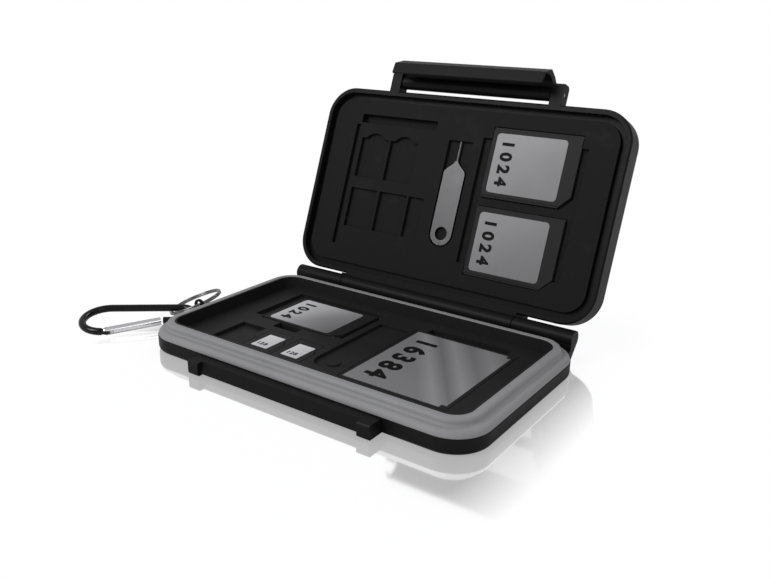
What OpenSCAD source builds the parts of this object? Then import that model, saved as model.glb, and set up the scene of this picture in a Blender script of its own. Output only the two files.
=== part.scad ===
/* [Base shell] */
// Outside length of the base shell, along the hinge
case_l = 120.4; // [116:0.1:150]
// Outside width of the base shell, from the latch side to the hinge side
case_w = 70.2; // [69:0.1:100]
// Corner radius of the base shell, seen from above
corner_r = 11.2; // [9:0.1:15]
// Height of the base shell from its underside to its edge
base_h = 4.8; // [4.6:0.1:8]
// Thickness of the base floor
floor_t = 1.2; // [1:0.05:1.3]
// Thickness of the base wall above the seal shelf
wall_t = 2.4; // [1.8:0.1:2.8]
// Radius of the rounded lower edge
base_edge_r = 1.5; // [0.6:0.1:2.2]

/* [Seal] */
// Distance of the seal's outer face inside the face of the base shell
seal_inset = 0.2; // [0.1:0.05:0.5]
// Height of the seal's outer step above the base edge
seal_step_h = 2.0; // [1.2:0.1:3]
// Width of the seal's outer step
seal_step_w = 2.8; // [2.5:0.1:3.2]
// Width of the raised lip of the seal
seal_lip_w = 2.6; // [2:0.1:3.2]
// Height of the raised lip above the step
seal_lip_h = 2.2; // [1.2:0.1:3]
// Depth of the seal's foot below the base edge
seal_foot_h = 1.4; // [0.6:0.1:1.8]

/* [Trays] */
// Width of the thin upright rim of the base tray
rim_w = 0.5; // [0.4:0.05:0.8]
// Distance of the base tray's face below the base edge
tray_drop = 0.05; // [0.05:0.05:0.2]
// Play between a tray and the shell round it
tray_gap = 0.05; // [0.03:0.01:0.2]
// Thickness of the lid tray
lid_tray_t = 3.2; // [3:0.1:4]
// Distance of the lid tray's face behind the lid's rim
lid_tray_drop = 1.1; // [0.9:0.05:1.5]
// Depth of the sunk areas round the pockets
area_d = 1.2; // [0.4:0.1:1.4]
// Depth of the deep slot in the lid tray
slot_d = 2.4; // [1:0.1:2.6]
// Depth of the thumb and finger gaps in the base tray
thumb_d = 2.3; // [1.6:0.1:2.8]
// Play round a card in its pocket
card_play = 0.25; // [0.15:0.05:0.4]
// Space under a card in its pocket
card_lift = 0.2; // [0.1:0.05:0.3]

/* [Lid] */
// Distance of the lid's faces inside the faces of the base shell
lid_inset = 0.3; // [0.2:0.05:0.8]
// Depth of the lid from its rim to its top
lid_h = 9.4; // [8.6:0.1:14]
// Thickness of the lid's top
lid_top_t = 1.4; // [1:0.1:2]
// Radius of the rounded top edge of the lid
lid_edge_r = 2.0; // [0.8:0.1:2.2]
// Width of the bevel round the outer edge of the lid's rim
lid_bevel = 0.5; // [0.2:0.1:0.8]
// Width of the lid's rim
lid_rim_w = 1.8; // [1.6:0.1:2.4]
// Width of the groove between the rim and the lid tray
groove_w = 2.1; // [1.5:0.1:2.2]
// Depth of the groove behind the rim
groove_d = 2.6; // [2.2:0.1:3.2]
// Space left over the seal when the lid is shut
seal_gap = 0.1; // [0.05:0.05:0.3]
// Angle through which the lid stands open
lid_open = 110.5; // [95:0.5:112]

/* [Hinge] */
// Distance of the hinge line behind the back face of the base shell
hinge_out = 3.1; // [3:0.1:4]
// Distance of the hinge line below the lid's rim when shut
hinge_drop = 0.25; // [0:0.05:0.5]
// Radius of the hinge barrel
barrel_r = 2.8; // [2.4:0.05:2.85]
// Length of the lid's hinge barrel
knuckle_l = 70.0; // [50:0.5:80]
// Gap between the lid's barrel and each barrel on the base
knuckle_gap = 0.3; // [0.2:0.05:0.5]
// Length of each barrel on the base
ear_l = 21.0; // [12:0.5:24]
// Width of the stop beside the lid's barrel
stop_w = 2.0; // [1:0.1:4]
// Radius of the hinge pin
pin_r = 0.8; // [0.6:0.05:1]
// Length of the pin inside each barrel on the base
pin_grip = 12.0; // [6:0.5:16]
// Play between a pin and its bore, on the radius
bore_play = 0.05; // [0.03:0.01:0.1]

/* [Latch] */
// Length of the gap between the latch ears
latch_gap_l = 59.2; // [40:0.1:70]
// Length of each latch ear along the lid
latch_ear_l = 4.1; // [3:0.1:6]
// Space at each end of the latch
latch_end_play = 0.4; // [0.3:0.05:0.8]
// Distance of the latch pivot in front of the lid's front face
latch_out = 3.8; // [3.5:0.1:4.2]
// Height of the latch pivot above the lid's rim when shut
latch_rise = 2.45; // [2.45:0.05:3]
// Radius of the latch ears round the pivot
latch_ear_r = 2.45; // [2.2:0.05:2.45]
// Reach of the latch ears past the pivot
latch_ear_reach = 3.4; // [2.6:0.1:3.6]
// Radius of the latch barrel
latch_barrel_r = 2.3; // [2:0.05:2.35]
// Radius of the latch pin
latch_pin_r = 0.75; // [0.5:0.05:0.9]
// Height of the hook's lowest edge above the underside of the base
hook_clear = 0.15; // [0.1:0.05:0.6]
// Thickness of the hook's toe
hook_t = 0.8; // [0.6:0.05:0.9]
// Distance of the latch plate's outer face in front of its pivot
latch_plate_out = 5.6; // [5.2:0.1:6]
// Thickness of the latch plate
latch_plate_t = 2.3; // [1.8:0.1:2.5]
// Reach of the toe behind the pivot, under the bar
toe_reach = 2.2; // [0.6:0.1:2.4]
// Space between the toe and the bar that it holds
hook_play = 0.2; // [0.15:0.05:0.3]
// Angle through which the latch stands out from its shut position
latch_open = 17; // [10:1:24]

/* [Cards] */
// Long side of the large cards
sd_l = 32; // [31:0.1:33]
// Short side of the large cards
sd_w = 24; // [23:0.1:24.4]
// Thickness of the large cards
sd_t = 2.1; // [1.6:0.1:2.2]
// Cut corner of the large cards
sd_cut = 4; // [2:0.5:5]
// Length of the smallest cards
micro_l = 15; // [14:0.1:16]
// Width of the smallest cards
micro_w = 11; // [10:0.1:11.4]
// Thickness of the smallest cards
micro_t = 1; // [0.8:0.1:1.2]
// Long side of the thick card
cf_l = 42.8; // [40:0.1:43]
// Short side of the thick card
cf_w = 36.4; // [34:0.1:37]
// Thickness of the thick card
cf_t = 3.3; // [2.6:0.05:3.3]
// Radius of the corners of a large card's label
label_r = 1.5; // [0.5:0.1:2]
// Thickness of a card's label
label_t = 0.15; // [0.1:0.01:0.2]
// Distance between the middles of the two large cards in the lid
lid_pitch = 27.3; // [26:0.1:28]

/* [Ejector pin] */
// Thickness of the ejector pin
key_t = 1.0; // [0.6:0.1:1.2]
// Width of the ejector pin's body
key_w = 8.4; // [6:0.1:9]
// Length of the body between its round end's middle and its shoulders
key_body_l = 21.4; // [16:0.2:24]
// Length of the shoulders
key_neck_l = 4.8; // [2:0.1:6]
// Length of the needle
key_needle_l = 6.6; // [5:0.1:9]
// Radius of the needle
key_needle_r = 0.45; // [0.3:0.05:0.5]
// Radius of the hole in the round end
key_hole_r = 2.4; // [1:0.05:2.8]

/* [Key ring] */
// Radius of the wire of the snap hook
rod_r = 1.25; // [1:0.05:1.25]
// Length of the straight back of the snap hook
spine_l = 24; // [22:0.5:24]
// Radius of the snap hook's small bend
small_bend_r = 4.5; // [4.3:0.05:4.5]
// Radius of the snap hook's large bend
large_bend_r = 8.1; // [7.6:0.1:8.4]
// Radius of the split ring, to the middle of its wire
ring_r = 9.4; // [9.2:0.05:9.5]
// Radius of one turn's wire of the split ring
ring_wire_r = 0.38; // [0.3:0.02:0.4]
// Radius of the hole in the key lug
lug_hole_r = 1.45; // [1.4:0.05:1.5]
// Width of the rim round the hole in the key lug
lug_rim = 0.7; // [0.6:0.05:0.9]
// Thickness of the key lug
lug_t = 0.9; // [0.8:0.1:1.2]

/* [Hidden] */
$fn = 64;

shell_color = "#1c1d1f";
tray_color = "#2b2c2e";
seal_color = "#8d8e90";
card_color = "#303133";
label_color = "#a8aaad";
steel_color = "#8a8c90";
bright_color = "#c4c6c9";
black_gloss = "#101113";

big = 300;
eps = 0.01;
// Length by which a piece that is one with a wall starts inside it
sink = 1;
// Width of small chamfers
soft = 0.4;

// Heights in the shut case
seal_foot_z = base_h - seal_foot_h;
seal_step_z = base_h + seal_step_h;
seal_top_z = seal_step_z + seal_lip_h;
tray_z = base_h - tray_drop;
rim_z = seal_top_z + seal_gap - lid_tray_drop;
lid_tray_z = rim_z + lid_tray_drop;
lid_roof_z = rim_z + lid_h - lid_top_t;

// The seal, in from its own outer face
seal_l = case_l - 2 * seal_inset;
seal_w = case_w - 2 * seal_inset;
seal_r = corner_r - seal_inset;
seal_in = seal_step_w + seal_lip_w;
seal_round = min(1.8, 0.9 * seal_step_h);
seal_fillet = min(0.9, 0.4 * seal_lip_h);
seal_lip_round = min(1.2, 0.5 * seal_lip_h);
seal_soft = 0.3;

// The base tray, in from the face of the base shell
well_in = seal_inset + seal_in;
base_tray_in = well_in + tray_gap;
rim_in = base_tray_in + rim_w;

// The lid
lid_l = case_l - 2 * lid_inset;
lid_w = case_w - 2 * lid_inset;
lid_r = corner_r - lid_inset;
lid_tray_in = lid_rim_w + groove_w;

// The hinge line
hinge_y = case_w / 2 + hinge_out;
hinge_z = rim_z - hinge_drop;
ear_x = knuckle_l / 2 + knuckle_gap;
pin_end_play = 0.2;

// The latch
latch_y = -lid_w / 2 - latch_out;
latch_z = rim_z + latch_rise;
latch_l = latch_gap_l - 2 * latch_end_play;
hook_z = hook_clear - latch_z;
toe_z = hook_z + hook_t;
bar_z = toe_z + hook_play;
bar_front = -0.4 * latch_barrel_r;
block_out = 1.7;
block_foot = 0.3;

// Card places, seen in the shut case, from its left or right face and its front or back face
thick_card_in = 33.3;
thick_card_y = -0.3;
base_card_in = [35.8, 24.1];
micro_left_in = [36.3, 19.5];
lid_card_in = 32.3;
micro_rib = 1.4;
thick_card_pos = [case_l / 2 - thick_card_in, thick_card_y];
base_card_pos = [base_card_in[0] - case_l / 2, case_w / 2 - base_card_in[1]];
micro_pitch = micro_w + micro_rib;
micro_left_pos = micro_left_in - [case_l, case_w] / 2;
micro_right_pos = micro_left_pos + [micro_pitch, 0];
micro_spare_pos = micro_left_pos - [micro_pitch, 0];
lid_card_x = case_l / 2 - lid_card_in;
lid_upper_pos = [lid_card_x, -lid_pitch / 2];
lid_lower_pos = [lid_card_x, lid_pitch / 2];
key_pos = [0, 13.5];
key_l = key_body_l + key_neck_l + key_needle_l;
spare_key_pos = [1.6, -14.6];
spare_key_gap = 1.6;

// A large card's write lock, label and stepped edges
lock_y = 5.0;
lock_l = 3.0;
lock_w = 1.0;
lock_t = 0.9;
lock_travel = 2.2;
lock_play = 0.1;
label_margin = [3.4, 6.2];
label_w = sd_w - label_margin[0];
label_l = sd_l - label_margin[1];
label_y = -1.6;
label_play = 0.1;
edge_step_w = 0.7;
edge_step_h = 0.35;

// A small card's notch and label
micro_notch_y = 6.4;
micro_notch = 1.3;
micro_label_margin = [4.4, 5.6];
micro_label_w = micro_w - micro_label_margin[0];
micro_label_l = micro_l - micro_label_margin[1];
micro_label_r = 0.4;

// The thick card's label and the runners in its sides
thick_label_margin = [1.8, 2];
thick_label_w = cf_l - thick_label_margin[0];
thick_label_l = cf_w - thick_label_margin[1];
thick_label_cut = 1.6;
runner_w = 0.8;
runner_h = 1.2;
runner_start = 8;

// Sunk areas and gaps of the base tray, round its pockets
card_area_room = [5.8, 0.6];
card_area = [sd_l, sd_w] + card_area_room;
card_area_step = [-1.2, 1.6];
card_area_pos = base_card_pos + card_area_step;
thumb_gap = [10, 4.4];
thumb_step = [2.4, 1.8];
thumb_pos = base_card_pos - [thumb_step[0], sd_w / 2 + thumb_step[1]];
finger_gap = [cf_w * 0.8, thumb_gap[1]];
finger_step = 1.5;
finger_pos = thick_card_pos + [0, cf_l / 2 + finger_step];

// Sunk areas and empty pockets of the lid tray
lid_area_room = [6, 16.5];
lid_area = [sd_l, lid_pitch] + lid_area_room;
lid_area_step = [-0.5, 0.2];
lid_area_pos = [lid_card_x, 0] + lid_area_step;
key_room = 0.6;
small_room = [1, -0.2];
small_pocket = [micro_w, micro_l] + small_room;
small_in = [24, 37.1];
small_x = [for (x = small_in) x - case_l / 2];
small_y = [-9.2, 9.9];
narrow_room = [1.1, -0.2];
narrow_pocket = [micro_w / 2, micro_l] + narrow_room;
narrow_in = 47.3;
narrow_x = narrow_in - case_l / 2;
arch_r = 5.2;
arch_rise = 4.2;
deep_slot = [33, 3.2];
deep_slot_in = [32.7, 10.9];
deep_slot_pos = deep_slot_in - [case_l, lid_w] / 2;
side_slot = [1.8, 46];
side_slot_in = 15.2;
side_slot_pos = [side_slot_in - case_l / 2, 1.5];

// The key lug, ring and snap hook, from the left face of the base shell
lug_out = 2.2;
lug_pos = [-case_l / 2 - lug_out, -8.9, 6.3];
lug_drop = 4.2;
ring_from_lug = [-7.7, 4.94, -1.95];
ring_turn = 24.84;
ring_tilt = 22.34;
hook_from_lug = [-12.6, -4.9, -2.45];
ring_pitch = 0.56;
hook_turn = 38.5;
hook_tilt = 8;
small_bend_x = 6;
large_bend_x = small_bend_x - spine_l;
nose_x = 1.2;
gate_hinge_step = [1.5, 0.2];
gate_hinge = [large_bend_x, -2 * large_bend_r] + gate_hinge_step;
gate_play = 0.35;
gate_pin_r = 0.4;
gate_bore_r = 0.6;
gate_bore_l = 7;
gate_r = rod_r + 0.1;
tongue_t = 1.0;
tongue_slot = tongue_t + 0.3;
fork_l = 2.4;

function gate_dir() = atan2(-2 * small_bend_r - gate_hinge[1], nose_x - gate_hinge[0]);
function gate_length() =
    norm([nose_x - gate_hinge[0], -2 * small_bend_r - gate_hinge[1]]) - gate_play - rod_r / 2;

// A rectangle with round corners
module round_rect(l, w, r) {
    square([l - 2 * r, w], center = true);
    square([l, w - 2 * r], center = true);
    for (sx = [-1, 1], sy = [-1, 1])
        translate([sx * (l / 2 - r), sy * (w / 2 - r)])
            circle(r);
}

// A profile, with x measured outward from the corner's middle, carried round a rectangle with round corners
module carried_round(l, w, r) {
    for (side = [0, 180])
        rotate(side) {
            translate([-(l / 2 - r), w / 2 - r, 0])
                rotate([90, 0, 90])
                    linear_extrude(l - 2 * r)
                        children();
            rotate(90)
                translate([-(w / 2 - r), l / 2 - r, 0])
                    rotate([90, 0, 90])
                        linear_extrude(w - 2 * r)
                            children();
            translate([l / 2 - r, w / 2 - r, 0])
                rotate_extrude(angle = 90)
                    children();
            translate([-(l / 2 - r), w / 2 - r, 0])
                rotate(90)
                    rotate_extrude(angle = 90)
                        children();
        }
}

// A slab with round corners whose upper edge is rounded to the radius e
module round_slab(l, w, r, h, e) {
    core = e + 1;
    linear_extrude(h)
        round_rect(l - 2 * core + 1, w - 2 * core + 1, r - core + 0.5);
    carried_round(l, w, r) {
        translate([r - core, 0])
            square([core, h - e]);
        translate([r - core, 0])
            square([core - e, h]);
        translate([r - e, h - e])
            circle(e);
    }
}

// A cylinder along X through a point of the YZ plane
module x_rod(r, l, y = 0, z = 0) {
    translate([-l / 2, y, z])
        rotate([0, 90, 0])
            cylinder(r = r, h = l);
}

// An outline of the YZ plane carried along X
module x_prism(l, points) {
    translate([-l / 2, 0, 0])
        rotate([90, 0, 90])
            linear_extrude(l)
                polygon(points);
}

// Places the shut lid's parts as the lid stands open
module opened() {
    translate([0, hinge_y, hinge_z])
        rotate([-lid_open, 0, 0])
            translate([0, -hinge_y, -hinge_z])
                children();
}

// Places a latch part, modelled shut and round its pivot, as the latch stands out
module latched() {
    opened()
        translate([0, latch_y, latch_z])
            rotate([-latch_open, 0, 0])
                children();
}

// Places a card, label up and its plug end toward +Y, in the base
module in_base(pos, t, turn = 0) {
    translate([pos[0], pos[1], tray_z - t])
        rotate(turn)
            children();
}

// Places a card in the lid, label toward the opening and plug end toward +X
module in_lid(pos, t) {
    opened()
        translate([pos[0], pos[1], lid_tray_z + t])
            rotate([180, 0, 90])
                children();
}

module card_outline(w, l, cut, play = 0) {
    x = w / 2 + play;
    y = l / 2 + play;
    polygon([[-x, -y], [x, -y], [x, y - cut], [x - cut, y], [-x, y]]);
}

module micro_outline(play = 0) {
    x = micro_w / 2 + play;
    y = micro_l / 2 + play;
    notch_y = y - micro_notch_y;
    polygon([[-x, -y], [x, -y], [x, notch_y], [x - micro_notch, notch_y + micro_notch],
             [x - micro_notch, y], [-x, y]]);
}

module thick_outline(play = 0) {
    square([cf_l + 2 * play, cf_w + 2 * play], center = true);
}

// Half the width of the ejector pin along its shoulders, from the body at 0 to the needle at 1
function key_side(t) = key_needle_r + (key_w / 2 - key_needle_r) * (1 + cos(180 * t)) / 2;

module key_outline() {
    steps = 10;
    shoulder = [for (i = [0:steps]) [key_side(i / steps), -key_body_l - key_neck_l * i / steps]];
    circle(key_w / 2);
    polygon(concat([[key_w / 2, 0]], shoulder,
                   [for (i = [steps:-1:0]) [-shoulder[i][0], shoulder[i][1]]], [[-key_w / 2, 0]]));
}

// The large card's body, with a recess for the label and a notch for its lock
module large_card() {
    color(card_color)
        difference() {
            linear_extrude(sd_t)
                card_outline(sd_w, sd_l, sd_cut);
            translate([0, label_y, sd_t - label_t])
                linear_extrude(1)
                    round_rect(label_w, label_l, label_r);
            translate([-sd_w / 2 - 1, lock_y - lock_l / 2 - lock_travel, (sd_t - lock_t) / 2 - lock_play])
                cube([1 + lock_w + lock_play, lock_l + lock_travel + 2 * lock_play, lock_t + 2 * lock_play]);
            for (side = [0, 1])
                mirror([side, 0, 0])
                    translate([sd_w / 2 - edge_step_w, -sd_l / 2 - 1, sd_t - edge_step_h])
                        cube([2, sd_l + 2, 1]);
        }
}

module large_card_label() {
    color(label_color)
        translate([0, label_y, sd_t - label_t])
            linear_extrude(label_t)
                round_rect(label_w - 2 * label_play, label_l - 2 * label_play, label_r - label_play);
}

module large_card_lock() {
    color(label_color)
        translate([-sd_w / 2 + lock_play, lock_y - lock_l / 2, (sd_t - lock_t) / 2])
            cube([lock_w - lock_play, lock_l, lock_t]);
}

module micro_card() {
    color(card_color)
        difference() {
            linear_extrude(micro_t)
                micro_outline();
            translate([0, 0, micro_t - label_t])
                linear_extrude(1)
                    round_rect(micro_label_w, micro_label_l, micro_label_r);
        }
}

module micro_card_label() {
    p = label_play;
    color(label_color)
        translate([0, 0, micro_t - label_t])
            linear_extrude(label_t)
                round_rect(micro_label_w - p, micro_label_l - p, micro_label_r - p / 2);
}

// The floor, wall, hinge barrels, latch bar and key lug of the base, in one moulding
module base_shell() {
    color(shell_color)
        difference() {
            union() {
                translate([0, 0, base_h])
                    mirror([0, 0, 1])
                        round_slab(case_l, case_w, corner_r, base_h, base_edge_r);
                hinge_barrels();
                latch_bar();
                key_lug();
            }
            translate([0, 0, floor_t])
                linear_extrude(big)
                    round_rect(case_l - 2 * well_in, case_w - 2 * well_in, corner_r - well_in);
            translate([0, 0, seal_foot_z])
                linear_extrude(base_h - seal_foot_z + eps)
                    round_rect(case_l - 2 * wall_t, case_w - 2 * wall_t, corner_r - wall_t);
            x_rod(pin_r + bore_play, knuckle_l + 2 * (knuckle_gap + pin_grip), hinge_y, hinge_z);
        }
}

// The two barrels behind the base, each with its web and a stop that the open lid leans on
module hinge_barrels() {
    web_top = hinge_z - 0.4 * barrel_r;
    web_foot = 0.57 * barrel_r;
    web_out = 0.43 * barrel_r;
    shelf = 0.35;
    back = case_w / 2;
    stop_reach = 1.8 * barrel_r;
    stop_t = 0.57 * barrel_r;
    stop_play = 0.1;
    stop_face = hinge_out + lid_inset - stop_play;
    low = barrel_r * 0.7;
    for (side = [0, 1])
        mirror([side, 0, 0]) {
            translate([ear_x + ear_l / 2, 0, 0]) {
                x_rod(barrel_r, ear_l, hinge_y, hinge_z);
                x_prism(ear_l, [[back - sink, web_foot], [back + web_out, web_foot],
                                [hinge_y + low, hinge_z - low], [hinge_y, hinge_z], [back + shelf, web_top],
                                [back + shelf, base_h], [back - sink, base_h]]);
            }
            translate([ear_x + stop_w / 2, hinge_y, hinge_z])
                rotate([90 - lid_open, 0, 0])
                    x_prism(stop_w, [[0, -barrel_r * 0.8], [0, 0], [0, stop_face], [stop_reach, stop_face],
                                     [stop_reach, stop_face - stop_t], [barrel_r * 0.8, -barrel_r * 0.5]]);
        }
}

// The bar in front of the base that the latch holds, between two end blocks
module latch_bar() {
    front = -case_w / 2;
    top = base_h - soft / 2;
    nose = latch_y - block_out;
    x_prism(latch_gap_l + soft / 2, [[front + sink, top], [latch_y + soft, top],
                                     [latch_y + bar_front, latch_z + bar_z + soft],
                                     [latch_y + bar_front, latch_z + bar_z], [front + sink, latch_z + bar_z]]);
    for (side = [-1, 1])
        translate([side * (latch_gap_l + latch_ear_l) / 2, 0, 0])
            x_prism(latch_ear_l, [[front + sink, block_foot], [nose + soft, block_foot],
                                  [nose, block_foot + soft], [nose, top - soft], [nose + soft, top],
                                  [front + sink, top]]);
}

// The fin with an eye on the left wall that the split ring passes through
module key_lug() {
    outer = lug_hole_r + lug_rim;
    side = -case_l / 2;
    difference() {
        intersection() {
            translate([lug_pos[0], lug_pos[1], lug_pos[2]])
                rotate([90, 0, 0])
                    linear_extrude(lug_t, center = true) {
                        circle(outer);
                        polygon([[-outer * 0.55, -outer * 0.84], [outer * 0.25, -lug_drop], [outer, -lug_drop],
                                 [outer, 0], [0, 0]]);
                    }
            translate([side - big - soft / 2, -big / 2, 0])
                cube([big, big, big]);
        }
        translate([lug_pos[0], lug_pos[1], lug_pos[2]])
            rotate([90, 0, 0])
                cylinder(r = lug_hole_r, h = lug_t + 1, center = true);
    }
    translate([side - soft, lug_pos[1] - lug_t / 2, lug_pos[2] - lug_drop])
        cube([sink + soft, lug_t, base_h - lug_pos[2] + lug_drop]);
}

// The seal: a foot in the base, a step on the base edge and a raised lip, with soft corners between them
module base_seal() {
    color(seal_color)
        carried_round(seal_l, seal_w, seal_r)
            seal_profile();
}

module seal_profile() {
    a = seal_r;
    foot = a - wall_t + seal_inset;
    lip = a - seal_step_w;
    inner = a - seal_in;
    polygon(concat([[inner, seal_foot_z], [foot, seal_foot_z], [foot, base_h], [a, base_h]],
                   arc(a - seal_round, seal_step_z - seal_round, seal_round, 0, 90),
                   arc(lip + seal_fillet, seal_step_z + seal_fillet, seal_fillet, 270, 180),
                   arc(lip - seal_lip_round, seal_top_z - seal_lip_round, seal_lip_round, 0, 90),
                   [[inner + seal_soft, seal_top_z], [inner, seal_top_z - seal_soft]]));
}

// Points along an arc round a middle, from one angle to another
function arc(x, z, r, from, to, steps = 6) =
    [for (i = [0:steps]) let (t = from + (to - from) * i / steps) [x + r * cos(t), z + r * sin(t)]];

// The tray in the base, with a pocket for each card
module base_tray() {
    rim_top = seal_top_z - 0.1;
    color(tray_color)
        difference() {
            translate([0, 0, floor_t])
                linear_extrude(rim_top - floor_t)
                    round_rect(case_l - 2 * base_tray_in, case_w - 2 * base_tray_in, corner_r - base_tray_in);
            translate([0, 0, tray_z])
                linear_extrude(big)
                    round_rect(case_l - 2 * rim_in, case_w - 2 * rim_in, corner_r - rim_in);
            base_pockets();
        }
}

// Pockets cut down from the face of the base tray
module base_pockets() {
    in_pocket(thick_card_pos, cf_t + card_lift + eps, -90)
        thick_outline(card_play);
    in_pocket(base_card_pos, sd_t + card_lift, -90)
        card_outline(sd_w, sd_l, sd_cut, card_play);
    for (pos = [micro_spare_pos, micro_left_pos, micro_right_pos])
        in_pocket(pos, micro_t + card_lift)
            micro_outline(card_play);
    in_pocket(card_area_pos, area_d)
        square(card_area, center = true);
    in_pocket(thumb_pos, thumb_d)
        square(thumb_gap, center = true);
    in_pocket(finger_pos, thumb_d)
        square(finger_gap, center = true);
    spare_key_pocket();
}

// The empty pocket for an ejector pin, with a round post for its hole
module spare_key_pocket() {
    r = key_w / 2 + spare_key_gap;
    difference() {
        in_pocket(spare_key_pos, key_t) {
            circle(r);
            translate([-r, 0])
                square([2 * r, key_l + card_play]);
        }
        translate([spare_key_pos[0], spare_key_pos[1], tray_z - key_t - 1])
            cylinder(r = key_hole_r - card_play, h = 1 + key_t / 2);
    }
}

module in_pocket(pos, d, turn = 0) {
    translate([pos[0], pos[1], tray_z - d])
        rotate(turn)
            linear_extrude(d + 1)
                children();
}

// The lid's shell, with its groove for the seal, its hinge barrel and its latch ears
module lid_shell() {
    color(shell_color)
        opened()
            difference() {
                union() {
                    lid_body();
                    lid_knuckle();
                    latch_ears();
                }
                translate([0, 0, rim_z - 1])
                    linear_extrude(groove_d + 1)
                        round_rect(lid_l - 2 * lid_rim_w, lid_w - 2 * lid_rim_w, lid_r - lid_rim_w);
                translate([0, 0, rim_z - 1])
                    linear_extrude(lid_roof_z - rim_z + 1)
                        round_rect(lid_l - 2 * lid_tray_in, lid_w - 2 * lid_tray_in, lid_r - lid_tray_in);
                x_rod(pin_r + bore_play, knuckle_l + sink, hinge_y, hinge_z);
                x_rod(latch_pin_r + bore_play, big, latch_y, latch_z);
            }
}

// The lid's slab, with a bevel round the outer edge of its rim
module lid_body() {
    difference() {
        translate([0, 0, rim_z])
            round_slab(lid_l, lid_w, lid_r, lid_h, lid_edge_r);
        carried_round(lid_l, lid_w, lid_r)
            polygon([[lid_r - lid_bevel, rim_z], [lid_r - lid_bevel, rim_z - 1], [lid_r + 1, rim_z - 1],
                     [lid_r + 1, rim_z + lid_bevel], [lid_r, rim_z + lid_bevel]]);
    }
}

module lid_knuckle() {
    back = lid_w / 2;
    x_rod(barrel_r, knuckle_l, hinge_y, hinge_z);
    x_prism(knuckle_l, [[back - sink, rim_z], [hinge_y - barrel_r * 0.57, rim_z], [hinge_y, hinge_z],
                        [hinge_y, hinge_z + barrel_r], [back - sink, hinge_z + barrel_r * 1.5]]);
}

module latch_ears() {
    front = -lid_w / 2;
    tip = latch_y - latch_ear_reach;
    cut = latch_ear_r * 0.35;
    low = latch_z - latch_ear_r;
    high = latch_z + latch_ear_r;
    for (side = [-1, 1])
        translate([side * (latch_gap_l + latch_ear_l) / 2, 0, 0])
            x_prism(latch_ear_l, [[front + sink, low], [tip + cut, low], [tip, low + cut],
                                  [tip, high - cut], [tip + cut, high], [front + sink, high]]);
}

// The tray in the lid, a plate with a skirt that stands on the lid's roof
module lid_tray() {
    l = lid_l - 2 * (lid_tray_in + tray_gap);
    w = lid_w - 2 * (lid_tray_in + tray_gap);
    r = lid_r - lid_tray_in - tray_gap;
    skirt = 1.2;
    color(tray_color)
        opened()
            difference() {
                translate([0, 0, lid_tray_z])
                    linear_extrude(lid_roof_z - lid_tray_z)
                        round_rect(l, w, r);
                translate([0, 0, lid_tray_z + lid_tray_t])
                    linear_extrude(big)
                        round_rect(l - 2 * skirt, w - 2 * skirt, r - skirt);
                lid_pockets();
            }
}

module in_lid_pocket(pos, d) {
    translate([pos[0], pos[1], lid_tray_z - 1])
        linear_extrude(d + 1)
            children();
}

// Pockets cut into the face of the lid tray
module lid_pockets() {
    for (pos = [lid_upper_pos, lid_lower_pos])
        translate([pos[0], pos[1], lid_tray_z + sd_t + card_lift])
            rotate([180, 0, 90])
                linear_extrude(big)
                    card_outline(sd_w, sd_l, sd_cut, card_play);
    in_lid_pocket(lid_area_pos, area_d)
        square(lid_area, center = true);
    in_lid_pocket(key_pos, key_t + card_lift) {
        r = key_w / 2 + key_room;
        circle(r);
        translate([-r, -key_l - card_play])
            square([2 * r, key_l + card_play]);
    }
    in_lid_pocket(deep_slot_pos, slot_d)
        square(deep_slot, center = true);
    in_lid_pocket(side_slot_pos, area_d)
        square(side_slot, center = true);
    for (x = small_x) {
        for (y = small_y)
            in_lid_pocket([x, y], area_d)
                square(small_pocket, center = true);
        in_lid_pocket([x, small_y[0] - arch_rise], area_d)
            circle(arch_r);
    }
    in_lid_pocket([narrow_x, small_y[1]], area_d)
        square(narrow_pocket, center = true);
}

// The pin through all the hinge barrels
module hinge_pin() {
    color(steel_color)
        x_rod(pin_r, knuckle_l + 2 * (knuckle_gap + pin_grip - pin_end_play), hinge_y, hinge_z);
}

// The latch, a hooked plate along its barrel, whose toe reaches under the bar
module latch() {
    b = latch_barrel_r;
    outer = -latch_plate_out;
    inner = outer + latch_plate_t;
    heel_z = hook_z * 0.6;
    color(shell_color)
        latched()
            difference() {
                union() {
                    x_rod(b, latch_l);
                    x_prism(latch_l, [[0.17 * b, 0.98 * b], [outer + b, 0.7 * b], [outer + b / 2, 0.1 * b],
                                      [outer + b / 8, -1.1 * b], [outer, heel_z], [-0.8 * b, hook_z],
                                      [toe_reach - soft, hook_z + hook_t / 2], [toe_reach, toe_z],
                                      [-0.83 * b, toe_z], [inner, heel_z - 0.1 * b],
                                      [inner + 0.1 * b, -1.4 * b], [-0.75 * b, -0.6 * b], [0, -b / 2]]);
                }
                x_rod(latch_pin_r + bore_play, latch_l + sink);
            }
}

module latch_pin() {
    color(steel_color)
        opened()
            x_rod(latch_pin_r, latch_gap_l + 2 * (latch_ear_l - pin_end_play), latch_y, latch_z);
}

module thick_card() {
    color(card_color)
        difference() {
            linear_extrude(cf_t)
                thick_outline();
            translate([-thick_label_w / 2, -thick_label_l / 2, cf_t - label_t])
                cube([thick_label_w, thick_label_l, 1]);
            for (side = [0, 1])
                mirror([side, 0, 0])
                    translate([cf_l / 2 - runner_w, runner_start - cf_w / 2, (cf_t - runner_h) / 2])
                        cube([runner_w + 1, cf_w, runner_h]);
        }
}

module thick_card_label() {
    cut = thick_label_cut;
    x = thick_label_w / 2 - label_play;
    y = thick_label_l / 2 - label_play;
    color(label_color)
        translate([0, 0, cf_t - label_t])
            linear_extrude(label_t)
                polygon([[-x, -y], [x, -y], [x, y - cut], [x - cut, y - cut], [x - cut, y], [-x + cut, y],
                         [-x + cut, y - cut], [-x, y - cut]]);
}

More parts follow.
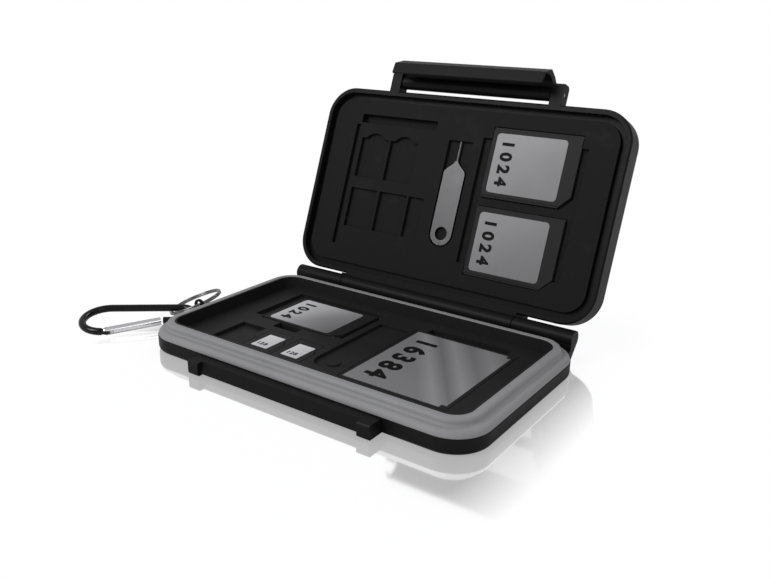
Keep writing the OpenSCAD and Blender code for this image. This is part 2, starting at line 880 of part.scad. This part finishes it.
// The flat pin with a needle for opening a card drawer
module ejector_pin() {
    color(steel_color)
        opened()
            translate([key_pos[0], key_pos[1], lid_tray_z]) {
                difference() {
                    linear_extrude(key_t)
                        key_outline();
                    translate([0, 0, -1])
                        cylinder(r = key_hole_r, h = key_t + 2);
                }
                translate([0, -key_body_l - key_neck_l + sink, key_t / 2])
                    rotate([90, 0, 0])
                        cylinder(r = key_needle_r, h = key_needle_l + sink);
            }
}

module hook_place() {
    translate(lug_pos + hook_from_lug)
        rotate([hook_tilt, 0, hook_turn])
            children();
}

// A round wire bend of radius r in the XY plane
module wire_bend(r, from, sweep) {
    rotate(from)
        rotate_extrude(angle = sweep)
            translate([r, 0])
                circle(rod_r);
}

// The snap hook's wire: a straight back, a small and a large bend, a nose and a flat tongue for the gate
module snap_hook() {
    tongue_l = 3;
    color(black_gloss)
        hook_place()
            difference() {
                union() {
                    wire_run([large_bend_x, 0], spine_l);
                    translate([small_bend_x, -small_bend_r, 0])
                        wire_bend(small_bend_r, -90, 180);
                    wire_run([nose_x, -2 * small_bend_r], small_bend_x - nose_x);
                    translate([large_bend_x, -large_bend_r, 0])
                        wire_bend(large_bend_r, 90, 180);
                    intersection() {
                        wire_run([large_bend_x - soft, -2 * large_bend_r], tongue_l);
                        translate([large_bend_x - sink, -big / 2, -tongue_t / 2])
                            cube([big, big, tongue_t]);
                    }
                }
                translate([gate_hinge[0], gate_hinge[1], 0])
                    cylinder(r = gate_pin_r + bore_play, h = 4 * rod_r, center = true);
            }
}

// A straight run of the wire along X
module wire_run(from, l) {
    translate([from[0], from[1], 0])
        rotate([0, 90, 0])
            cylinder(r = rod_r, h = l);
}

module gate_place() {
    hook_place()
        translate([gate_hinge[0], gate_hinge[1], 0])
            rotate(gate_dir())
                children();
}

// The gate: a hollow rod with a forked end
module snap_gate() {
    color(bright_color)
        gate_place()
            difference() {
                union() {
                    rotate([0, 90, 0])
                        cylinder(r = gate_r, h = gate_length());
                    sphere(rod_r);
                }
                translate([fork_l - big, -big / 2, -tongue_slot / 2])
                    cube([big, big, tongue_slot]);
                cylinder(r = gate_pin_r, h = 4 * rod_r, center = true);
                translate([fork_l - soft, 0, 0])
                    rotate([0, 90, 0])
                        cylinder(r = gate_bore_r, h = gate_bore_l);
            }
}

module gate_pin() {
    color(steel_color)
        gate_place()
            cylinder(r = gate_pin_r - eps, h = 2 * rod_r, center = true);
}

// The spring inside the gate that pushes it shut
module gate_spring() {
    end_play = 0.1;
    color(steel_color)
        gate_place()
            translate([fork_l + 2 * soft, 0, 0])
                rotate([0, 90, 0])
                    cylinder(r = gate_bore_r - bore_play, h = gate_bore_l - 3 * soft - end_play);
}

// The split ring, two turns of wire
module split_ring() {
    color(steel_color)
        translate(lug_pos + ring_from_lug)
            rotate([0, 0, ring_turn])
                rotate([0, -ring_tilt, 0])
                    rotate_extrude() {
                        translate([ring_r, ring_pitch / 2])
                            circle(ring_wire_r);
                        translate([ring_r, -ring_pitch / 2])
                            circle(ring_wire_r);
                    }
}

base_shell();
base_seal();
base_tray();
lid_shell();
lid_tray();
hinge_pin();
latch();
latch_pin();
in_lid(lid_upper_pos, sd_t) large_card();  // lid_card_upper
in_lid(lid_upper_pos, sd_t) large_card_label();  // lid_card_upper_label
in_lid(lid_upper_pos, sd_t) large_card_lock();  // lid_card_upper_lock
in_lid(lid_lower_pos, sd_t) large_card();  // lid_card_lower
in_lid(lid_lower_pos, sd_t) large_card_label();  // lid_card_lower_label
in_lid(lid_lower_pos, sd_t) large_card_lock();  // lid_card_lower_lock
in_base(base_card_pos, sd_t, -90) large_card();  // base_card
in_base(base_card_pos, sd_t, -90) large_card_label();  // base_card_label
in_base(base_card_pos, sd_t, -90) large_card_lock();  // base_card_lock
in_base(micro_left_pos, micro_t) micro_card();  // micro_card_left
in_base(micro_left_pos, micro_t) micro_card_label();  // micro_card_left_label
in_base(micro_right_pos, micro_t) micro_card();  // micro_card_right
in_base(micro_right_pos, micro_t) micro_card_label();  // micro_card_right_label
in_base(thick_card_pos, cf_t, -90) thick_card();
in_base(thick_card_pos, cf_t, -90) thick_card_label();
ejector_pin();
snap_hook();
snap_gate();
gate_pin();
gate_spring();
split_ring();
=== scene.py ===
import math

import bmesh
import bpy
from mathutils import Matrix, Vector


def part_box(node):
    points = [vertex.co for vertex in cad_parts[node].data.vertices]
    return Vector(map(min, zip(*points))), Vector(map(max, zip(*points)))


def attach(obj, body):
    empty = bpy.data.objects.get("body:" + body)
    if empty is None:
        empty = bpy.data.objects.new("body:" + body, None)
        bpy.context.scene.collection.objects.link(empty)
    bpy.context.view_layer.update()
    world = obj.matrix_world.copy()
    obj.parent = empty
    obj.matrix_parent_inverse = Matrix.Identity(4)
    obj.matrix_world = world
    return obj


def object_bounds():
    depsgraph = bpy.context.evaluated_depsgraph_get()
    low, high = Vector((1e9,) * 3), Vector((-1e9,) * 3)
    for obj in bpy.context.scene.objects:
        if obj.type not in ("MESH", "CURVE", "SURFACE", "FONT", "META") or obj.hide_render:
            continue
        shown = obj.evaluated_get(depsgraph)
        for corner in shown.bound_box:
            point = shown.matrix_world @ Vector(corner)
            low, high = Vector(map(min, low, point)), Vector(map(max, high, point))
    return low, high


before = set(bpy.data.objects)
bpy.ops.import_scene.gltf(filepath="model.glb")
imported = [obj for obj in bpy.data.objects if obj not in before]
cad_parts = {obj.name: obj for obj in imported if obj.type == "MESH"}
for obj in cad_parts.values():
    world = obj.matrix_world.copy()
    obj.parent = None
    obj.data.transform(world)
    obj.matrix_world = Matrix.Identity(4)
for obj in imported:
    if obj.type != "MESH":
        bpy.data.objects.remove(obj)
CAD_BOX = [list(corner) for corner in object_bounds()]
MM = 0.001

# Directions of the open lid: across it, up along its tray, and out of the tray's face
LID_OPEN = math.radians(110.5)
ACROSS = Vector((1, 0, 0))
LID_UP = Vector((0, -math.cos(LID_OPEN), math.sin(LID_OPEN)))
LID_OUT = ACROSS.cross(LID_UP)
UP = Vector((0, 0, 1))
TO_FRONT = Vector((0, -1, 0))

# The photograph's viewpoint: round the case from its front, up, and rolled a little
VIEW_AZIMUTH = math.radians(34.79)
VIEW_ELEVATION = math.radians(19.45)
VIEW_ROLL = math.radians(0.91)
VIEW_DISTANCE = 0.24694
VIEW_TARGET = Vector((0.00665, 0.00477, 0.02328))
SENSOR_WIDTH = 36
LENS = 37.44
CLIP_RANGE = (0.01, 20)

# Soft boxes: where each stands and what it faces, in metres, then its side in metres and its power in watts
LAMPS = {
    "key_light": ((-0.35, -0.55, 0.60), (0, 0, 0.02), 0.40, 3.6),
    "fill_light": ((0.60, -0.20, 0.45), (0, 0, 0.03), 0.35, 0.5),
    "back_light": ((0.05, 0.55, 0.50), (0, 0.02, 0.03), 0.30, 1.2),
}
WORLD_LEVEL = 0.5
WHITE = (1, 1, 1, 1)

# Half size of the case's place on the floor, along X and along Y, and how fast the mirror image fades there
FOOTPRINT = ((57 * MM, 3), (36 * MM, 1))

# The floor's mirror image and white glow: their shares at the case, and how far past its place they change
MIRROR_SHARE = 0.53
MIRROR_FADE = (16 * MM, 60 * MM)
MIRROR_BLUR = 0.06
GLOW_SHARE = 0.8
GLOW_REACH = 60 * MM
FLOOR_LEVEL = 0.8
FLOOR_RADIUS = 4

# Print: a digit's height over its font size, and the extra weight of a stroke over the digit's height
INK_THICK = 0.02 * MM
LABEL_THICK = 0.15 * MM
DIGIT_SHARE = 0.73
STROKE_SHARE = 0.062
CURVE_STEPS = 4

# The way each number reads on its label, and the way the label faces
READING = {
    "lid_card_upper": (-LID_UP, LID_OUT),
    "lid_card_lower": (-LID_UP, LID_OUT),
    "base_card": (TO_FRONT, UP),
    "thick_card": (TO_FRONT, UP),
    "micro_card_left": (ACROSS, UP),
    "micro_card_right": (ACROSS, UP),
}

# Each number: its card, digits, place on the label along and across the reading, digit height and spacing
LARGE_SPOT = (-0.2 * MM, -8.3 * MM)
THICK_SPOT = (0, -10 * MM)
SMALL_SPOT = (-0.6 * MM, -2.2 * MM)
NUMBERS = {
    "upper_number": ("lid_card_upper", "1024", LARGE_SPOT, 4.3 * MM, 1.45),
    "lower_number": ("lid_card_lower", "1024", LARGE_SPOT, 4.3 * MM, 1.45),
    "base_number": ("base_card", "1024", LARGE_SPOT, 4.3 * MM, 1.45),
    "thick_number": ("thick_card", "16384", THICK_SPOT, 7.2 * MM, 1.36),
    "left_number": ("micro_card_left", "128", SMALL_SPOT, 1.7 * MM, 1.2),
    "right_number": ("micro_card_right", "128", SMALL_SPOT, 1.7 * MM, 1.2),
}

# Bands of a foil, from its near level at 0 to its far level at 1
SOFT_BANDS = [(0.0, 0.0), (0.35, 0.35), (0.6, 0.75), (1.0, 1.0)]
# Painted reflection: light and dark streaks across the thick card's foil that stand in for its gloss
PAINTED_REFLECTION_STREAKS = [
    (0.0, 0.5), (0.42, 0.55), (0.5, 0.12), (0.58, 0.75),
    (0.66, 0.1), (0.76, 0.7), (0.86, 0.3), (1.0, 0.8),
]
LID_SLANT = (ACROSS - LID_UP).normalized()
BASE_SLANT = Vector((0.8, -0.6, 0))
DEPTH_LINE = Vector((0.82, 0.57, 0))

# Each foil: its near and far grey level, the direction of its bands, half their length, and the bands
FOILS = {
    "lid_card_upper_label": (0.235, 0.15, LID_SLANT, 20 * MM, SOFT_BANDS),
    "lid_card_lower_label": (0.235, 0.15, LID_SLANT, 20 * MM, SOFT_BANDS),
    "base_card_label": (0.80, 0.16, BASE_SLANT, 16 * MM, SOFT_BANDS),
    "thick_card_label": (0.36, 0.14, DEPTH_LINE, 26 * MM, PAINTED_REFLECTION_STREAKS),
    "micro_card_left_label": (0.80, 0.55, BASE_SLANT, 8 * MM, SOFT_BANDS),
    "micro_card_right_label": (0.80, 0.55, BASE_SLANT, 8 * MM, SOFT_BANDS),
}

# Softened edges: doubled corners closer than the first are merged, and only edges past the angle are rounded
WELD_REACH = 0.0005 * MM
EDGE_ANGLE = math.radians(35)
EDGE_SEGMENTS = 2


class Signal:
    """A value or colour that a shader node gives; sums and products of it add Math nodes."""

    def __init__(self, finish, socket):
        self.finish = finish
        self.socket = socket

    def __add__(self, other):
        return self.finish.maths("ADD", self, other)

    def __radd__(self, other):
        return self.finish.maths("ADD", other, self)

    def __sub__(self, other):
        return self.finish.maths("SUBTRACT", self, other)

    def __rsub__(self, other):
        return self.finish.maths("SUBTRACT", other, self)

    def __mul__(self, other):
        return self.finish.maths("MULTIPLY", self, other)

    def __rmul__(self, other):
        return self.finish.maths("MULTIPLY", other, self)

    def __pow__(self, power):
        return self.finish.maths("POWER", self, power)


class Finish:
    """A node tree under construction, of a material or of the world."""

    def __init__(self, tree):
        self.tree = tree
        tree.nodes.clear()

    def node(self, kind, settings=None, inputs=None):
        """Adds a node: its settings are set first, then each socket takes its value or link."""
        made = self.tree.nodes.new(kind)
        for name, value in (settings or {}).items():
            if name == "stops":
                self.set_stops(made.color_ramp, value)
            else:
                setattr(made, name, value)
        for key, value in (inputs or {}).items():
            self.feed(made.inputs[key], value)
        return made

    def set_stops(self, ramp, stops):
        """Gives a colour ramp its stops, each a place and a grey level."""
        while len(ramp.elements) < len(stops):
            ramp.elements.new(1)
        for element, (place, level) in zip(ramp.elements, stops):
            element.position = place
            element.color = (level, level, level, 1)

    def feed(self, socket, value):
        """Links a signal or an output to a socket, or sets the socket's plain value."""
        if isinstance(value, Signal):
            self.tree.links.new(value.socket, socket)
        elif isinstance(value, bpy.types.NodeSocket):
            self.tree.links.new(value, socket)
        else:
            socket.default_value = value

    def out(self, made, output=0):
        return Signal(self, made.outputs[output])

    def maths(self, operation, first, second):
        return self.out(self.node("ShaderNodeMath", {"operation": operation}, {0: first, 1: second}))

    def spread(self, value, low, high, to_low=0, to_high=1):
        """Carries a value from one range to another, and no further."""
        inputs = {"Value": value, "From Min": low, "From Max": high, "To Min": to_low, "To Max": to_high}
        return self.out(self.node("ShaderNodeMapRange", {"clamp": True}, inputs))

    def place(self, turn=(0, 0, 0), stretch=(1, 1, 1)):
        """Object coordinates in metres, turned and stretched."""
        raw = self.node("ShaderNodeTexCoord").outputs["Object"]
        inputs = {"Vector": raw, "Rotation": turn, "Scale": stretch}
        return self.node("ShaderNodeMapping", {"vector_type": "POINT"}, inputs).outputs[0]

    def along(self, direction, centre):
        """How far a point lies from a centre along one direction, in metres."""
        raw = self.node("ShaderNodeTexCoord").outputs["Object"]
        step = self.node("ShaderNodeVectorMath", {"operation": "SUBTRACT"}, {0: raw, 1: centre}).outputs[0]
        dot = self.node("ShaderNodeVectorMath", {"operation": "DOT_PRODUCT"}, {0: step, 1: direction})
        return self.out(dot, "Value")

    def noise(self, place, size, detail=2.0, rough=0.5):
        """Soft noise whose features are about size metres across, from 0 to 1."""
        inputs = {"Vector": place, "Scale": 1 / size, "Detail": detail, "Roughness": rough}
        return self.out(self.node("ShaderNodeTexNoise", None, inputs))

    def cells(self, place, size):
        """Distance to the nearest of scattered points that lie about size metres apart."""
        return self.out(self.node("ShaderNodeTexVoronoi", None, {"Vector": place, "Scale": 1 / size}))

    def ramp(self, share, stops):
        """Grey levels between stops."""
        return self.out(self.node("ShaderNodeValToRGB", {"stops": stops}, {0: share}))

    def blend(self, factor, first, second):
        """Mixes two colours."""
        made = self.node("ShaderNodeMix", {"data_type": "RGBA"}, {0: factor, 6: first, 7: second})
        return self.out(made, 2)

    def mix(self, factor, first, second):
        """Mixes two shader nodes."""
        return self.node("ShaderNodeMixShader", None, {0: factor, 1: first.outputs[0], 2: second.outputs[0]})

    def bump(self, height, depth, strength):
        """A normal from a height that runs from 0 to 1 and stands for depth metres."""
        inputs = {"Height": height, "Distance": depth, "Strength": strength}
        return self.out(self.node("ShaderNodeBump", None, inputs))

    def surface(self, **sockets):
        """Ends a material in one Principled BSDF; a word with _ stands for a socket with a space."""
        inputs = {name.replace("_", " "): value for name, value in sockets.items()}
        self.end(self.node("ShaderNodeBsdfPrincipled", None, inputs))

    def end(self, shader):
        """Ends a material in a shader node."""
        self.node("ShaderNodeOutputMaterial", None, {"Surface": shader.outputs[0]})


def new_finish(name):
    """A fresh material and the finish that builds it."""
    material = bpy.data.materials.new(name)
    material.use_nodes = True
    return material, Finish(material.node_tree)


def grey(level):
    """A neutral colour, a trace cool."""
    return (level, level, level * 1.02, 1)


def moulded_plastic(name, level, roughness, grain, depth, shine):
    """Satin moulding: a fine eroded grain, slow drifts of tone and a few rubbed places."""
    material, f = new_finish(name)
    dark, light, polished = grey(level * 0.82), grey(level * 1.22), grey(level * 1.7)
    place = f.place()
    drift = f.noise(place, size=40 * MM, detail=1.5)
    rub = f.noise(place, size=9 * MM, detail=5, rough=0.62)
    pits = f.noise(place, size=grain, detail=3, rough=0.6)
    rubbed = f.spread(rub, 0.56, 0.78)
    colour = f.blend(rubbed * 0.5, f.blend(drift, dark, light), polished)
    rough = roughness + (drift - 0.5) * 0.08 - rubbed * 0.07
    normal = f.bump(pits, depth, strength=0.55)
    f.surface(Base_Color=colour, Roughness=rough, Normal=normal, Specular_IOR_Level=shine)
    return material


def silicone(name):
    """Soft grey rubber: matt, a little chalky, with fine dust specks that cling to it."""
    material, f = new_finish(name)
    dark, light, dusty = grey(0.215), grey(0.275), grey(0.42)
    place = f.place()
    cloud = f.noise(place, size=14 * MM, detail=4, rough=0.55)
    speck = f.cells(place, size=0.9 * MM)
    skin = f.noise(place, size=0.22 * MM, detail=3)
    dust = f.spread(speck, 0.03, 0.10, 1, 0) * f.spread(cloud, 0.45, 0.62)
    colour = f.blend(dust * 0.35, f.blend(cloud, dark, light), dusty)
    rough = 0.5 + cloud * 0.16
    normal = f.bump(skin, 0.012 * MM, strength=0.5)
    f.surface(Base_Color=colour, Roughness=rough, Normal=normal, Specular_IOR_Level=0.35)
    return material


def brushed_metal(name, level, roughness, turn=(0, 0, 0), stretch=(1, 1, 1)):
    """Bright drawn or brushed metal with fine lines along one direction."""
    material, f = new_finish(name)
    dark, light = grey(level * 0.86), grey(level * 1.12)
    lines = f.noise(f.place(turn, stretch), size=0.25 * MM, detail=4, rough=0.65)
    cloud = f.noise(f.place(), size=5 * MM, detail=3)
    colour = f.blend(lines, dark, light)
    rough = roughness + (lines - 0.5) * 0.18 + (cloud - 0.5) * 0.08
    normal = f.bump(lines, 0.006 * MM, strength=0.5)
    f.surface(Base_Color=colour, Metallic=1.0, Roughness=rough, Normal=normal)
    return material


def lacquer(name):
    """Gloss black lacquer over metal, with faint waves and hairline scratches."""
    material, f = new_finish(name)
    black, bared = grey(0.004), grey(0.02)
    waves = f.noise(f.place(), size=1.6 * MM)
    hairs = f.noise(f.place(turn=(0, 0, 0.7), stretch=(1, 9, 9)), size=0.6 * MM, detail=5, rough=0.7)
    scratched = f.spread(hairs, 0.62, 0.74)
    colour = f.blend(scratched * 0.5, black, bared)
    rough = 0.14 + scratched * 0.22 + waves * 0.05
    normal = f.bump(waves, 0.01 * MM, strength=0.4)
    f.surface(
        Base_Color=colour, Roughness=rough, Normal=normal, Specular_IOR_Level=0.2,
        Coat_Weight=0.08, Coat_Roughness=0.06,
    )
    return material


def foil_label(name, near, far, centre, direction, reach, bands):
    """Satin printed foil: a grey that changes in bands along one direction, with a fine fleck; streaked
    bands are a painted reflection.
    """
    material, f = new_finish(name)
    bright, dim = grey(near), grey(far)
    cloud = f.noise(f.place(), size=6 * MM, detail=3)
    fleck = f.noise(f.place(), size=0.16 * MM)
    share = f.spread(f.along(direction, centre), -reach, reach)
    # Painted reflection where the bands are streaks; elsewhere a plain grey gradient
    banded = f.blend(f.ramp(share, bands), bright, dim)
    colour = f.blend(fleck * 0.14 + cloud * 0.08, banded, dim)
    rough = 0.4 + (cloud - 0.5) * 0.1 + (fleck - 0.5) * 0.06
    normal = f.bump(fleck, 0.003 * MM, strength=0.35)
    f.surface(Base_Color=colour, Roughness=rough, Normal=normal, Metallic=0.2, Specular_IOR_Level=0.3)
    return material


def printing_ink(name):
    """Dense black print with small gaps where the foil's grain shows."""
    material, f = new_finish(name)
    black, faded = grey(0.008), grey(0.08)
    fleck = f.noise(f.place(), size=0.12 * MM)
    thin = f.spread(fleck, 0.62, 0.75)
    colour = f.blend(thin * 0.3, black, faded)
    f.surface(Base_Color=colour, Roughness=0.5 - thin * 0.1, Specular_IOR_Level=0.05)
    return material


def middle(node):
    """Centre of a CAD node's box."""
    low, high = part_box(node)
    return (Vector(low) + Vector(high)) / 2


def dress(material, *nodes):
    """Gives CAD nodes their finish."""
    for node in nodes:
        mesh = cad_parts[node].data
        mesh.materials.clear()
        mesh.materials.append(material)


def soften(width, *nodes):
    """Rounds the sharp edges of CAD nodes a little, so that they catch the light."""
    for node in nodes:
        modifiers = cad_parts[node].modifiers
        weld = modifiers.new("weld", "WELD")
        weld.merge_threshold = WELD_REACH
        bevel = modifiers.new("soft_edges", "BEVEL")
        bevel.width = width
        bevel.segments = EDGE_SEGMENTS
        bevel.limit_method = "ANGLE"
        bevel.angle_limit = EDGE_ANGLE
        normals = modifiers.new("even_normals", "WEIGHTED_NORMAL")
        normals.keep_sharp = True


def number_mesh(name, digits, height, spacing):
    """Flat numerals, centred, as a thin solid mesh in metres."""
    curve = bpy.data.curves.new(name + "_outline", "FONT")
    curve.body = digits
    curve.size = height / DIGIT_SHARE
    curve.offset = height * STROKE_SHARE
    curve.space_character = spacing
    curve.align_x = "CENTER"
    curve.align_y = "CENTER"
    curve.resolution_u = CURVE_STEPS
    curve.extrude = INK_THICK / 2
    holder = bpy.data.objects.new(name + "_outline", curve)
    bpy.context.scene.collection.objects.link(holder)
    bpy.context.view_layer.update()
    mesh = bpy.data.meshes.new_from_object(holder)
    mesh.name = name
    bpy.data.objects.remove(holder)
    bpy.data.curves.remove(curve)
    return mesh


def print_number(name, body, digits, spot, height, spacing):
    """Prints numerals on a card's label, as a piece of their own that rides with the card."""
    reading, outward = READING[body]
    across = outward.cross(reading)
    lift = LABEL_THICK / 2 + INK_THICK / 2
    centre = middle(body + "_label") + reading * spot[0] + across * spot[1] + outward * lift
    turn = Matrix((reading, across, outward)).transposed().to_4x4()
    mesh = number_mesh(name, digits, height, spacing)
    mesh.transform(Matrix.Translation(centre) @ turn)
    mesh.materials.clear()
    mesh.materials.append(INK)
    number = bpy.data.objects.new(name, mesh)
    bpy.context.scene.collection.objects.link(number)
    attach(number, body)


def add_camera():
    """The photograph's viewpoint."""
    flat = math.cos(VIEW_ELEVATION)
    back = Vector((math.sin(VIEW_AZIMUTH) * flat, -math.cos(VIEW_AZIMUTH) * flat, math.sin(VIEW_ELEVATION)))
    side = Vector((math.cos(VIEW_AZIMUTH), math.sin(VIEW_AZIMUTH), 0))
    head = back.cross(side)
    rolled_side = side * math.cos(VIEW_ROLL) + head * math.sin(VIEW_ROLL)
    rolled_head = head * math.cos(VIEW_ROLL) - side * math.sin(VIEW_ROLL)
    data = bpy.data.cameras.new("camera")
    data.sensor_width = SENSOR_WIDTH
    data.lens = LENS
    data.clip_start, data.clip_end = CLIP_RANGE
    camera = bpy.data.objects.new("camera", data)
    bpy.context.scene.collection.objects.link(camera)
    turn = Matrix((rolled_side, rolled_head, back)).transposed().to_4x4()
    camera.matrix_world = Matrix.Translation(VIEW_TARGET + back * VIEW_DISTANCE) @ turn
    bpy.context.scene.camera = camera


def add_lamp(name, position, aim, size, power):
    """A square soft box that faces its aim."""
    data = bpy.data.lights.new(name, "AREA")
    data.size = size
    data.energy = power
    lamp = bpy.data.objects.new(name, data)
    bpy.context.scene.collection.objects.link(lamp)
    lamp.location = position
    lamp.rotation_mode = "QUATERNION"
    lamp.rotation_quaternion = (Vector(aim) - Vector(position)).to_track_quat("-Z", "Y")


def add_world():
    """White behind the object, and a plain grey surround for light and reflections."""
    world = bpy.data.worlds.new("studio")
    bpy.context.scene.world = world
    world.use_nodes = True
    f = Finish(world.node_tree)
    seen = f.out(f.node("ShaderNodeLightPath"), "Is Camera Ray")
    colour = f.blend(seen, grey(WORLD_LEVEL), WHITE)
    sky = f.node("ShaderNodeBackground", None, {"Color": colour, "Strength": 1.0})
    f.node("ShaderNodeOutputWorld", None, {"Surface": sky.outputs[0]})


def floor_finish():
    """Pale floor, white to the camera, that keeps the shadow and a soft mirror image near the object."""
    material, f = new_finish("pale_floor")
    place = f.node("ShaderNodeTexCoord").outputs["Object"]
    sides = f.node("ShaderNodeSeparateXYZ", None, {0: place})
    beyond = []
    for index, (half, weight) in enumerate(FOOTPRINT):
        reach = f.maths("ABSOLUTE", f.out(sides, index), 0)
        beyond.append(f.maths("MAXIMUM", reach - half, 0) * weight)
    away = (beyond[0] * beyond[0] + beyond[1] * beyond[1]) ** 0.5
    seen = f.out(f.node("ShaderNodeLightPath"), "Is Camera Ray")
    pale = (FLOOR_LEVEL, FLOOR_LEVEL, FLOOR_LEVEL, 1)
    lifted = (1 / WORLD_LEVEL, 1 / WORLD_LEVEL, 1 / WORLD_LEVEL, 1)
    plain = f.node("ShaderNodeBsdfDiffuse", None, {"Color": pale})
    lit = f.node("ShaderNodeBsdfDiffuse", None, {"Color": WHITE})
    glow = f.node("ShaderNodeEmission", None, {"Color": WHITE, "Strength": 1.0})
    mirror = f.node("ShaderNodeBsdfAnisotropic", None, {"Color": lifted, "Roughness": MIRROR_BLUR})
    white = f.mix(f.spread(away, 0, GLOW_REACH, GLOW_SHARE, 1), lit, glow)
    shown = f.mix(f.spread(away, *MIRROR_FADE, MIRROR_SHARE, 0), white, mirror)
    f.end(f.mix(seen, plain, shown))
    return material


def add_floor():
    """A wide round floor at the foot of the case."""
    shape = bmesh.new()
    bmesh.ops.create_circle(shape, cap_ends=True, segments=64, radius=FLOOR_RADIUS)
    mesh = bpy.data.meshes.new("floor")
    shape.to_mesh(mesh)
    shape.free()
    mesh.transform(Matrix.Translation((0, 0, CAD_BOX[0][2])))
    mesh.materials.append(floor_finish())
    floor = bpy.data.objects.new("floor", mesh)
    bpy.context.scene.collection.objects.link(floor)


add_camera()
add_world()
for lamp, (position, aim, size, power) in LAMPS.items():
    add_lamp(lamp, position, aim, size, power)
add_floor()

SHELL = moulded_plastic("shell_moulding", 0.006, 0.42, grain=0.16 * MM, depth=0.012 * MM, shine=0.1)
# Painted light: the base tray takes the lid tray's plastic made brighter, lifting the shade inside the well
# and adding a painted sheen
PAINTED_LIGHT_WELL = moulded_plastic("well_moulding_painted_light", 0.015, 0.5, grain=0.22 * MM, depth=0.016 * MM, shine=0.12)
TRAY = moulded_plastic("tray_moulding", 0.008, 0.55, grain=0.22 * MM, depth=0.016 * MM, shine=0.08)
CARD = moulded_plastic("card_moulding", 0.016, 0.45, grain=0.12 * MM, depth=0.008 * MM, shine=0.1)
LOCK = moulded_plastic("lock_moulding", 0.30, 0.5, grain=0.12 * MM, depth=0.006 * MM, shine=0.35)
SEAL = silicone("seal_rubber")
EJECTOR = brushed_metal("ejector_brushing", 0.10, 0.42, stretch=(1, 0.08, 0.08))
PIN = brushed_metal("pin_drawing", 0.5, 0.3, stretch=(0.06, 1, 1))
RING = brushed_metal("ring_polish", 0.22, 0.14)
GATE = brushed_metal("gate_polish", 0.80, 0.2, turn=(0, 0, 0.37), stretch=(0.08, 1, 1))
HOOK = lacquer("hook_lacquer")
INK = printing_ink("label_print")

dress(SHELL, "base_shell", "lid_shell", "latch")
dress(PAINTED_LIGHT_WELL, "base_tray")
dress(TRAY, "lid_tray")
dress(SEAL, "base_seal")
dress(PIN, "hinge_pin", "latch_pin", "gate_pin", "gate_spring")
dress(CARD, "lid_card_upper", "lid_card_lower", "base_card", "thick_card")
dress(CARD, "micro_card_left", "micro_card_right")
dress(LOCK, "lid_card_upper_lock", "lid_card_lower_lock", "base_card_lock")
dress(EJECTOR, "ejector_pin")
dress(RING, "split_ring")
dress(HOOK, "snap_hook")
dress(GATE, "snap_gate")
for label, (near, far, direction, reach, bands) in FOILS.items():
    dress(foil_label(label + "_foil", near, far, middle(label), direction, reach, bands), label)

soften(0.2 * MM, "base_shell", "lid_shell", "latch")
soften(0.12 * MM, "base_seal", "base_tray", "lid_tray", "thick_card")
soften(0.06 * MM, "ejector_pin")

for number, (body, digits, spot, height, spacing) in NUMBERS.items():
    print_number(number, body, digits, spot, height, spacing)

bpy.context.scene.view_settings.view_transform = "Standard"
